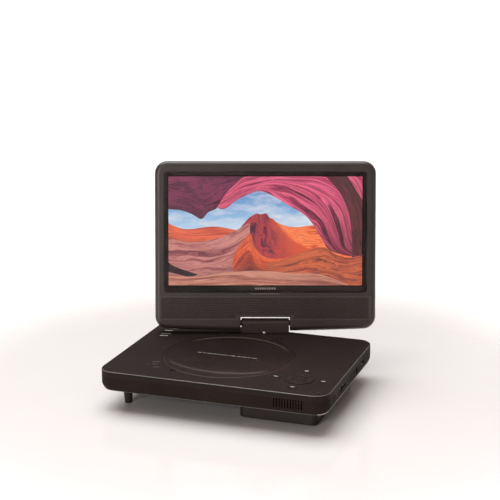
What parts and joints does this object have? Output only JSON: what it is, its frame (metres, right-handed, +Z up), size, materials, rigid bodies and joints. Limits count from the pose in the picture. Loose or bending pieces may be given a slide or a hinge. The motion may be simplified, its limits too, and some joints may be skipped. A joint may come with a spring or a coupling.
{
  "type": "portable dvd player",
  "caption": "Portable disc player with a screen lid on a swivel and tilt hinge, a round disc door, side sockets, a clip-on battery pack and tapered feet.",
  "frame": {"origin": "on the table, under the middle of the whole player as it stands with its lid open and swivelled", "axes": "+X to the right side with the sockets, +Y to the back, +Z up"},
  "size_m": [0.2315, 0.235, 0.2138],
  "materials": {
    "case_black": "fine spark texture",
    "lid_black": "fine spark texture",
    "door_black": "fine spark texture",
    "key_black": "satin",
    "inner_black": "satin",
    "white_print": "satin",
    "screen_glass": "polished",
    "lcd": "glossy",
    "steel": "brushed",
    "bright_steel": "ground",
    "aluminium": "stamped",
    "rubber": "matte",
    "board_green": "solder resist",
    "chip_black": "matte",
    "cell_wrap": "shrink film",
    "contact_brass": "plated",
    "hub_white": "satin",
    "lens_glass": "polished"
  },
  "bodies": {
    "root": {"base_bottom_case": "case_black", "base_top_case": "case_black", "base_screws": "steel", "disc_tray": "inner_black", "spindle_motor": "steel", "deck_chassis": "steel", "guide_rods": "bright_steel", "rubber_dampers": "rubber", "sled_motor": "steel", "main_board": "board_green", "main_board_parts": "chip_black", "key_board": "board_green", "picture_socket": "inner_black", "phones_socket": "inner_black", "supply_socket": "inner_black", "power_switch": "steel", "volume_pot": "steel", "power_lamp": "white_print", "lid_bumpers": "rubber", "battery_case": "case_black", "battery_cover": "case_black", "battery_cells": "cell_wrap", "battery_pads": "rubber", "battery_contacts": "contact_brass", "tall_feet": "rubber", "swivel_bush": "steel", "swivel_bracket": "steel"},
    "hinge_block": {"hinge_housing": "lid_black", "tilt_shafts": "bright_steel", "swivel_post": "steel", "swivel_washer": "steel", "swivel_nut": "steel"},
    "lid": {"lid_bezel": "lid_black", "lid_rear_cover": "lid_black", "screen_glass": "screen_glass", "speaker_grille": "lid_black", "lcd_panel": "lcd", "lcd_frame": "aluminium", "lcd_board": "board_green", "speakers": "chip_black", "lid_hinge_brackets": "steel", "lid_screws": "steel"},
    "door": {"disc_door": "door_black", "door_hinge_pins": "bright_steel"},
    "spindle": {"spindle_hub": "hub_white"},
    "sled": {"pickup_sled": "inner_black", "pickup_lens": "lens_glass"},
    "drive_screw": {"lead_screw": "bright_steel"},
    "power_slider": {"power_knob": "key_black"},
    "volume": {"volume_wheel": "key_black"},
    "latch": {"battery_latch": "key_black"},
    "key_ok_body": {"key_ok": "key_black"},
    "key_up_body": {"key_up": "key_black"},
    "key_down_body": {"key_down": "key_black"},
    "key_left_body": {"key_left": "key_black"},
    "key_right_body": {"key_right": "key_black"},
    "key_menu_body": {"key_menu": "key_black"},
    "key_stop_body": {"key_stop": "key_black"},
    "key_play_body": {"key_play": "key_black"},
    "key_source_body": {"key_source": "key_black"}
  },
  "joints": [
    {"name": "lid_swivel", "type": "hinge", "parent": "root", "child": "hinge_block", "pos_m": [0.0014, 0.04875, 0.04], "axis": [0, 0, 1], "range_deg": [-18.9, 161.1]},
    {"name": "lid_tilt", "type": "hinge", "parent": "hinge_block", "child": "lid", "pos_m": [0.0014, 0.04875, 0.04973], "axis": [-0.9461, -0.3239, 0], "range_deg": [-100.7, 34.3]},
    {"name": "disc_door_hinge", "type": "hinge", "parent": "root", "child": "door", "pos_m": [-0.0079, 0.0315, 0.0389], "axis": [-1, 0, 0], "range_deg": [0, 38]},
    {"name": "spindle_spin", "type": "hinge", "parent": "root", "child": "spindle", "pos_m": [-0.0079, -0.0357, 0.032], "axis": [0, 0, 1], "continuous": true},
    {"name": "sled_slide", "type": "slide", "parent": "root", "child": "sled", "axis": [0, -1, 0], "range_m": [0, 0.03]},
    {"name": "lead_screw_turn", "type": "hinge", "parent": "root", "child": "drive_screw", "pos_m": [0.0161, -0.0705, 0.027], "axis": [0, -1, 0], "range_deg": [0, 3600]},
    {"name": "power_slide", "type": "slide", "parent": "root", "child": "power_slider", "axis": [0, 1, 0], "range_m": [0, 0.004]},
    {"name": "volume_turn", "type": "hinge", "parent": "root", "child": "volume", "pos_m": [0.1068, -0.0615, 0.0305], "axis": [0, 0, 1], "range_deg": [-140, 140]},
    {"name": "latch_slide", "type": "slide", "parent": "root", "child": "latch", "axis": [0, 1, 0], "range_m": [0, 0.003], "stiffness_N_per_m": 300, "springref_m": -0.002},
    {"name": "key_ok_press", "type": "slide", "parent": "root", "child": "key_ok_body", "axis": [0, 0, -1], "range_m": [0, 0.0006], "stiffness_N_per_m": 400, "springref_m": -0.001},
    {"name": "key_up_press", "type": "slide", "parent": "root", "child": "key_up_body", "axis": [0, 0, -1], "range_m": [0, 0.0006], "stiffness_N_per_m": 400, "springref_m": -0.001},
    {"name": "key_down_press", "type": "slide", "parent": "root", "child": "key_down_body", "axis": [0, 0, -1], "range_m": [0, 0.0006], "stiffness_N_per_m": 400, "springref_m": -0.001},
    {"name": "key_left_press", "type": "slide", "parent": "root", "child": "key_left_body", "axis": [0, 0, -1], "range_m": [0, 0.0006], "stiffness_N_per_m": 400, "springref_m": -0.001},
    {"name": "key_right_press", "type": "slide", "parent": "root", "child": "key_right_body", "axis": [0, 0, -1], "range_m": [0, 0.0006], "stiffness_N_per_m": 400, "springref_m": -0.001},
    {"name": "key_menu_press", "type": "slide", "parent": "root", "child": "key_menu_body", "axis": [0, 0, -1], "range_m": [0, 0.0006], "stiffness_N_per_m": 400, "springref_m": -0.001},
    {"name": "key_stop_press", "type": "slide", "parent": "root", "child": "key_stop_body", "axis": [0, 0, -1], "range_m": [0, 0.0006], "stiffness_N_per_m": 400, "springref_m": -0.001},
    {"name": "key_play_press", "type": "slide", "parent": "root", "child": "key_play_body", "axis": [0, 0, -1], "range_m": [0, 0.0006], "stiffness_N_per_m": 400, "springref_m": -0.001},
    {"name": "key_source_press", "type": "slide", "parent": "root", "child": "key_source_body", "axis": [0, 0, -1], "range_m": [0, 0.0006], "stiffness_N_per_m": 400, "springref_m": -0.001}
  ],
  "couplings": [
    {"joint": "lead_screw_turn", "follows": "sled_slide", "rad_per_m": 2094.4}
  ]
}
